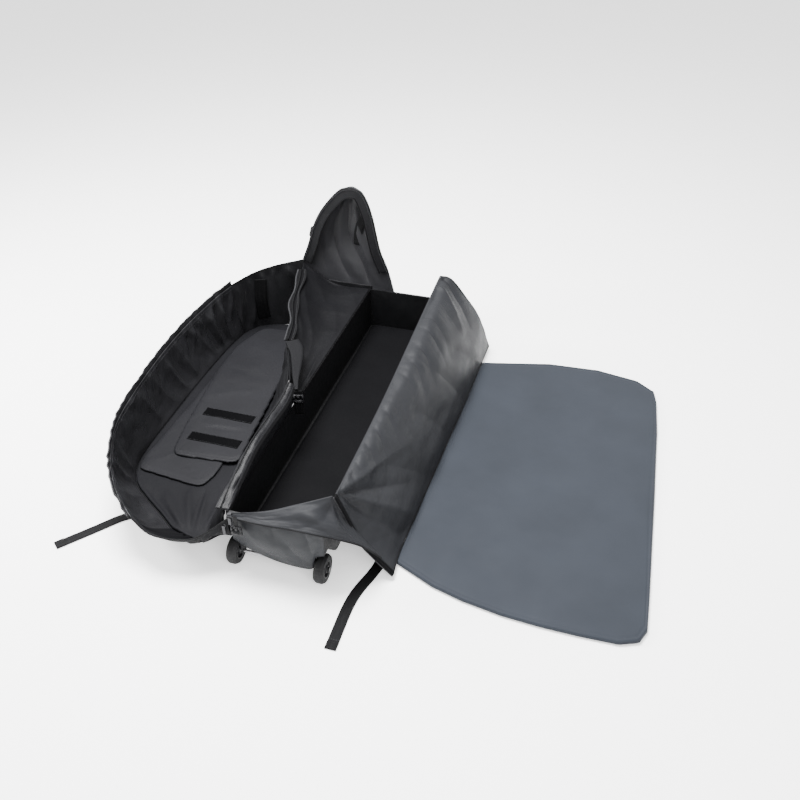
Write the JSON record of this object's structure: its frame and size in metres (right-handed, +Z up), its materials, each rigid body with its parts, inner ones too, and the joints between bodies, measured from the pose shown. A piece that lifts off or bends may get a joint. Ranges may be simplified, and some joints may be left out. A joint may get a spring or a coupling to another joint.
{
  "type": "soft bike travel bag",
  "caption": "Padded wheeled travel bag lying open: stiff tray on skid rails with two small wheels, zip-on side cover with gussets, folding side panel and loose pad",
  "frame": {"origin": "on the floor, under the middle of the tray, on the centre skid rail's lower face", "axes": "+Z up; X across the bag, +X towards the side panel and pad; Y along the bag, the wheeled end at -Y"},
  "size_m": [1.5906, 1.4482, 0.5632],
  "materials": {
    "buckle_plastic": "black moulded buckle",
    "flap_cloth": "charcoal cloth over thin foam",
    "foam": "black cloth over firm foam",
    "hook_strip": "black hook-and-loop strip",
    "lining_cloth": "charcoal coated lining with a soft sheen",
    "outer_cloth": "grey coated woven nylon",
    "pad_cloth": "blue-grey cloth over foam",
    "panel_cloth": "charcoal coated cloth with a satin sheen",
    "rail_plastic": "black moulded plastic",
    "steel": "plain steel bar",
    "tray_plastic": "black moulded sheet, fine grain",
    "tyre_rubber": "black solid rubber",
    "webbing": "black woven webbing",
    "zinc": "dark lacquered zinc casting",
    "zip_tape": "dark woven zip tape"
  },
  "bodies": {
    "bag_base": {"axle_bracket_left": "rail_plastic", "axle_bracket_right": "rail_plastic", "axle_cap_left": "zinc", "axle_cap_right": "zinc", "base_tray": "tray_plastic", "edge_buckle": "buckle_plastic", "edge_webbing": "webbing", "far_corner_strap": "webbing", "far_end_panel": "outer_cloth", "far_gusset_web": "lining_cloth", "inner_zip_band": "zip_tape", "left_edge_roll": "outer_cloth", "left_fold_web": "lining_cloth", "left_lining": "lining_cloth", "left_strap": "webbing", "near_corner_flap": "panel_cloth", "near_end_panel": "outer_cloth", "near_gusset_web": "lining_cloth", "peak_inner_strap": "webbing", "peak_panel": "lining_cloth", "peak_skirt": "lining_cloth", "peak_zip_tape": "zip_tape", "right_strap": "webbing", "right_wall_band": "lining_cloth", "skid_rail_centre": "rail_plastic", "skid_rail_left": "rail_plastic", "skid_rail_right": "rail_plastic", "tray_floor_pad": "foam", "wheel_axle": "steel", "zip_end_pouch": "zip_tape", "zip_slider_ridge": "zinc", "zip_slider_rim": "zinc"},
    "left_shell": {"shell_floor": "lining_cloth", "shell_gusset": "lining_cloth", "shell_zip_tape": "zip_tape", "flap_lower": "flap_cloth"},
    "upper_flap": {"flap_upper": "flap_cloth", "hook_strip_near": "hook_strip", "hook_strip_far": "hook_strip"},
    "right_cover": {"right_panel": "panel_cloth", "right_zip_tape": "zip_tape"},
    "loose_pad": {"side_pad": "pad_cloth"},
    "wheel_left": {"tyre_left": "tyre_rubber", "wheel_hub_left": "rail_plastic", "wheel_bush_left": "rail_plastic"},
    "wheel_right": {"tyre_right": "tyre_rubber", "wheel_hub_right": "rail_plastic", "wheel_bush_right": "rail_plastic"},
    "corner_buckle": {"corner_buckle": "buckle_plastic", "corner_buckle_webbing": "webbing"},
    "peak_buckle_strap": {"peak_buckle": "buckle_plastic", "peak_buckle_webbing": "webbing"},
    "ridge_puller": {"zip_puller_ridge": "zinc"},
    "rim_puller": {"zip_puller_rim": "zinc"}
  },
  "joints": [
    {"name": "wheel_left_spin", "type": "hinge", "parent": "bag_base", "child": "wheel_left", "pos_m": [-0.1215, -0.592, 0.04], "axis": [1, 0, 0], "continuous": true},
    {"name": "wheel_right_spin", "type": "hinge", "parent": "bag_base", "child": "wheel_right", "pos_m": [0.1215, -0.592, 0.04], "axis": [1, 0, 0], "continuous": true},
    {"name": "left_shell_fold", "type": "hinge", "parent": "bag_base", "child": "left_shell", "pos_m": [-0.2877, 0.0048, 0.0131], "axis": [-0.0942, 0.9956, 0], "range_deg": [0, 65], "deforming": ["left_fold_web", "near_gusset_web", "far_gusset_web", "far_corner_strap"]},
    {"name": "upper_flap_lift", "type": "hinge", "parent": "left_shell", "child": "upper_flap", "pos_m": [-0.5484, 0.054, 0.0221], "axis": [0.0869, -0.9962, 0], "range_deg": [0, 88], "deforming": ["far_gusset_web", "far_corner_strap"]},
    {"name": "right_cover_fold", "type": "hinge", "parent": "bag_base", "child": "right_cover", "pos_m": [0.14176, 0.0126, 0.27687], "axis": [0.0077, -0.999, -0.0449], "range_deg": [0, 150], "deforming": ["near_corner_flap"]},
    {"name": "loose_pad_lift", "type": "hinge", "parent": "bag_base", "child": "loose_pad", "pos_m": [0.30756, 0.003, 0.0148], "axis": [-0.0262, -0.9997, 0], "range_deg": [0, 95]},
    {"name": "corner_buckle_swing", "type": "hinge", "parent": "bag_base", "child": "corner_buckle", "pos_m": [-0.0882, -0.63114, 0.206], "axis": [-1, 0, 0], "range_deg": [0, 80]},
    {"name": "peak_buckle_swing", "type": "hinge", "parent": "bag_base", "child": "peak_buckle_strap", "pos_m": [-0.29382, 0.6336, 0.44209], "axis": [1, 0, 0], "range_deg": [0, 60]},
    {"name": "ridge_puller_swing", "type": "hinge", "parent": "bag_base", "child": "ridge_puller", "pos_m": [-0.11148, -0.618, 0.188], "axis": [-1, 0, 0], "range_deg": [0, 85]},
    {"name": "rim_puller_swing", "type": "hinge", "parent": "bag_base", "child": "rim_puller", "pos_m": [-0.13002, -0.6216, 0.15175], "axis": [-1, 0, 0], "range_deg": [0, 85]}
  ]
}
